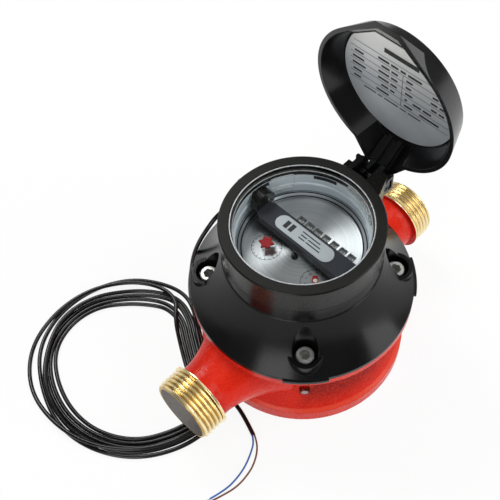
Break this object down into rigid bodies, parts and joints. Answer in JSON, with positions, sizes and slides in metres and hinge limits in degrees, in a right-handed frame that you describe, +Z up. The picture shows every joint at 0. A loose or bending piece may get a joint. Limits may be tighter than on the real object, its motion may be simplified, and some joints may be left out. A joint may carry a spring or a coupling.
{
  "type": "fuel oil flow meter",
  "caption": "Ring piston flow meter for fuel oil: red cast body with threaded ports, black register head with hinged lid, roller counter and coiled pulse cable.",
  "frame": {"origin": "centre of the round foot, on the surface that the meter stands on", "axes": "+X is the direction of flow, out of the outlet port; +Z is up along the register axis"},
  "size_m": [0.2085, 0.1549, 0.1758],
  "materials": {
    "body_red": "gloss paint on a sand cast brass body, threads bare brass",
    "strainer_steel": "plain steel",
    "chamber_plastic": "moulded plastic",
    "partition_steel": "rolled sheet",
    "piston_black": "machined graphite filled plastic",
    "magnet": "sintered ferrite",
    "brass": "turned brass",
    "seal_rubber": "moulded rubber",
    "cover_grey": "satin dark grey paint",
    "screw_steel": "zinc plated steel",
    "hood_black": "satin black plastic",
    "clear_glass": "clear",
    "can_zinc": "spun and zinc plated",
    "plate_brass": "stamped brass",
    "gear_plastic": "moulded acetal",
    "roller_white": "white plastic with black numerals",
    "pointer_red": "red plastic",
    "dial_silver": "circular brushed",
    "bar_slate": "satin slate plastic",
    "reed_glass": "glass tube",
    "label_silver": "printed foil",
    "lid_black": "gloss black plastic",
    "cable_black": "smooth black sheath",
    "core_blue": "blue insulation",
    "core_brown": "brown insulation"
  },
  "bodies": {
    "base": {"meter_body": "body_red", "inlet_strainer": "strainer_steel", "center_pin": "strainer_steel", "hinge_pin": "strainer_steel", "roller_axle": "strainer_steel", "pinion_axle": "strainer_steel", "plate_pillars": "strainer_steel", "measuring_chamber": "chamber_plastic", "chamber_lid": "chamber_plastic", "partition_plate": "partition_steel", "pressure_plate": "brass", "body_o_ring": "seal_rubber", "glass_gasket": "seal_rubber", "head_cover": "cover_grey", "head_cover_screws": "screw_steel", "register_hood": "hood_black", "dial_ring": "hood_black", "cable_gland": "hood_black", "sight_glass": "clear_glass", "register_can": "can_zinc", "gear_plate": "plate_brass", "counter_frame": "plate_brass", "dial_plate": "dial_silver", "pulser_bar": "bar_slate", "reed_switch": "reed_glass", "pulser_label": "label_silver", "cable_lead": "cable_black", "cable_coil": "cable_black", "cable_tail": "cable_black", "blue_core": "core_blue", "brown_core": "core_brown"},
    "lid": {"lid_cover": "lid_black", "lid_label": "label_silver"},
    "driver": {"piston_driver": "chamber_plastic", "drive_magnet": "magnet"},
    "piston": {"ring_piston": "piston_black"},
    "follower": {"follower_magnet": "magnet", "follower_shaft": "strainer_steel"},
    "star": {"star_wheel": "pointer_red", "star_shaft": "strainer_steel"},
    "idler": {"idler_gear": "gear_plastic"},
    "pointer": {"litre_pointer": "pointer_red", "pointer_gear": "gear_plastic", "pulse_magnet": "magnet"},
    "worm": {"counter_worm": "gear_plastic"},
    "roller_1": {"number_roller_1": "roller_white"},
    "roller_2": {"number_roller_2": "roller_white"},
    "roller_3": {"number_roller_3": "roller_white"},
    "roller_4": {"number_roller_4": "roller_white"},
    "roller_5": {"number_roller_5": "roller_white"},
    "roller_6": {"number_roller_6": "roller_white"},
    "roller_7": {"number_roller_7": "roller_white"},
    "pinion_1": {"transfer_pinion_1": "gear_plastic"},
    "pinion_2": {"transfer_pinion_2": "gear_plastic"},
    "pinion_3": {"transfer_pinion_3": "gear_plastic"},
    "pinion_4": {"transfer_pinion_4": "gear_plastic"},
    "pinion_5": {"transfer_pinion_5": "gear_plastic"},
    "pinion_6": {"transfer_pinion_6": "gear_plastic"}
  },
  "joints": [
    {"name": "lid_hinge", "type": "hinge", "parent": "base", "child": "lid", "pos_m": [0.0435, 0, 0.0885], "axis": [0, 1, 0], "range_deg": [-87, 0]},
    {"name": "driver_spin", "type": "hinge", "parent": "base", "child": "driver", "pos_m": [0, 0, 0], "axis": [0, 0, 1], "continuous": true},
    {"name": "piston_counter_spin", "type": "hinge", "parent": "driver", "child": "piston", "pos_m": [0.0032, 0, 0], "axis": [0, 0, 1], "continuous": true},
    {"name": "follower_spin", "type": "hinge", "parent": "base", "child": "follower", "pos_m": [0, 0, 0], "axis": [0, 0, 1], "continuous": true},
    {"name": "star_spin", "type": "hinge", "parent": "base", "child": "star", "pos_m": [-0.0112, 0.0116, 0], "axis": [0, 0, 1], "continuous": true},
    {"name": "idler_spin", "type": "hinge", "parent": "base", "child": "idler", "pos_m": [-0.01502, -0.00475, 0], "axis": [0, 0, 1], "continuous": true},
    {"name": "pointer_spin", "type": "hinge", "parent": "base", "child": "pointer", "pos_m": [-0.0098, -0.0172, 0], "axis": [0, 0, 1], "continuous": true},
    {"name": "worm_spin", "type": "hinge", "parent": "base", "child": "worm", "pos_m": [0.0038, -0.02353, 0], "axis": [0, 0, 1], "continuous": true},
    {"name": "roller_1_spin", "type": "hinge", "parent": "base", "child": "roller_1", "pos_m": [0.0099, 0, 0.0699], "axis": [0, 1, 0], "continuous": true},
    {"name": "roller_2_spin", "type": "hinge", "parent": "base", "child": "roller_2", "pos_m": [0.0099, 0, 0.0699], "axis": [0, 1, 0], "continuous": true},
    {"name": "pinion_1_spin", "type": "hinge", "parent": "base", "child": "pinion_1", "pos_m": [0.01542, 0, 0.06671], "axis": [0, 1, 0], "continuous": true},
    {"name": "roller_3_spin", "type": "hinge", "parent": "base", "child": "roller_3", "pos_m": [0.0099, 0, 0.0699], "axis": [0, 1, 0], "continuous": true},
    {"name": "pinion_2_spin", "type": "hinge", "parent": "base", "child": "pinion_2", "pos_m": [0.01542, 0, 0.06671], "axis": [0, 1, 0], "continuous": true},
    {"name": "roller_4_spin", "type": "hinge", "parent": "base", "child": "roller_4", "pos_m": [0.0099, 0, 0.0699], "axis": [0, 1, 0], "continuous": true},
    {"name": "pinion_3_spin", "type": "hinge", "parent": "base", "child": "pinion_3", "pos_m": [0.01542, 0, 0.06671], "axis": [0, 1, 0], "continuous": true},
    {"name": "roller_5_spin", "type": "hinge", "parent": "base", "child": "roller_5", "pos_m": [0.0099, 0, 0.0699], "axis": [0, 1, 0], "continuous": true},
    {"name": "pinion_4_spin", "type": "hinge", "parent": "base", "child": "pinion_4", "pos_m": [0.01542, 0, 0.06671], "axis": [0, 1, 0], "continuous": true},
    {"name": "roller_6_spin", "type": "hinge", "parent": "base", "child": "roller_6", "pos_m": [0.0099, 0, 0.0699], "axis": [0, 1, 0], "continuous": true},
    {"name": "pinion_5_spin", "type": "hinge", "parent": "base", "child": "pinion_5", "pos_m": [0.01542, 0, 0.06671], "axis": [0, 1, 0], "continuous": true},
    {"name": "roller_7_spin", "type": "hinge", "parent": "base", "child": "roller_7", "pos_m": [0.0099, 0, 0.0699], "axis": [0, 1, 0], "continuous": true},
    {"name": "pinion_6_spin", "type": "hinge", "parent": "base", "child": "pinion_6", "pos_m": [0.01542, 0, 0.06671], "axis": [0, 1, 0], "continuous": true}
  ],
  "couplings": [
    {"joint": "piston_counter_spin", "follows": "driver_spin", "ratio": -1},
    {"joint": "follower_spin", "follows": "driver_spin", "ratio": 1},
    {"joint": "star_spin", "follows": "driver_spin", "ratio": -2.3077},
    {"joint": "idler_spin", "follows": "driver_spin", "ratio": -0.4},
    {"joint": "pointer_spin", "follows": "driver_spin", "ratio": 0.2},
    {"joint": "worm_spin", "follows": "driver_spin", "ratio": -0.3},
    {"joint": "roller_1_spin", "follows": "driver_spin", "ratio": 0.015},
    {"joint": "roller_2_spin", "follows": "driver_spin", "ratio": 0.0015},
    {"joint": "pinion_1_spin", "follows": "driver_spin", "ratio": -0.00375},
    {"joint": "roller_3_spin", "follows": "driver_spin", "ratio": 0.00015},
    {"joint": "pinion_2_spin", "follows": "driver_spin", "ratio": -0.000375},
    {"joint": "roller_4_spin", "follows": "driver_spin", "ratio": 0.000015},
    {"joint": "pinion_3_spin", "follows": "driver_spin", "ratio": -0.0000375},
    {"joint": "roller_5_spin", "follows": "driver_spin", "ratio": 0.0000015},
    {"joint": "pinion_4_spin", "follows": "driver_spin", "ratio": -0.00000375},
    {"joint": "roller_6_spin", "follows": "driver_spin", "ratio": 0.00000015},
    {"joint": "pinion_5_spin", "follows": "driver_spin", "ratio": -0.000000375},
    {"joint": "roller_7_spin", "follows": "driver_spin", "ratio": 0.000000015},
    {"joint": "pinion_6_spin", "follows": "driver_spin", "ratio": -0.0000000375}
  ]
}
